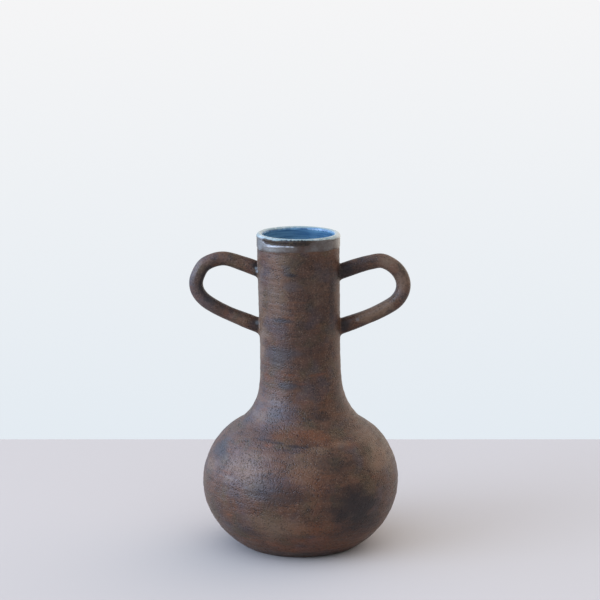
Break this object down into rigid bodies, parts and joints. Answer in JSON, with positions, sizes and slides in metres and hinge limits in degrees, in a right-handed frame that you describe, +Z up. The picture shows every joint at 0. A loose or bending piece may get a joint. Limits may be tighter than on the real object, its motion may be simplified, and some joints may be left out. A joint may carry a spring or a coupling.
{
  "type": "stoneware pottery vase",
  "caption": "Dark stoneware vase: a round bulb under a tall straight neck with ear-shaped coil handles, a blue glaze lining and a glazed rim, for holding stems.",
  "frame": {"origin": "middle of the foot, on the table", "axes": "+Z up along the vase, X through both handles, +X to the right as seen from the front, -Y to the front"},
  "size_m": [0.173, 0.1544, 0.2499],
  "materials": {
    "dark_stoneware": "unglazed, satin, gritty",
    "joint_slip": "unglazed, matte",
    "blue_glaze": "gloss",
    "lip_glaze": "gloss",
    "rim_glaze": "satin gloss"
  },
  "bodies": {
    "root": {"bulb": "dark_stoneware", "shoulder_slip": "joint_slip", "neck": "dark_stoneware", "left_handle": "dark_stoneware", "left_upper_collar": "dark_stoneware", "left_lower_collar": "dark_stoneware", "right_handle": "dark_stoneware", "right_upper_collar": "dark_stoneware", "right_lower_collar": "dark_stoneware", "glaze_lining": "blue_glaze", "lip_glaze": "lip_glaze", "rim_band": "rim_glaze"}
  },
  "joints": []
}
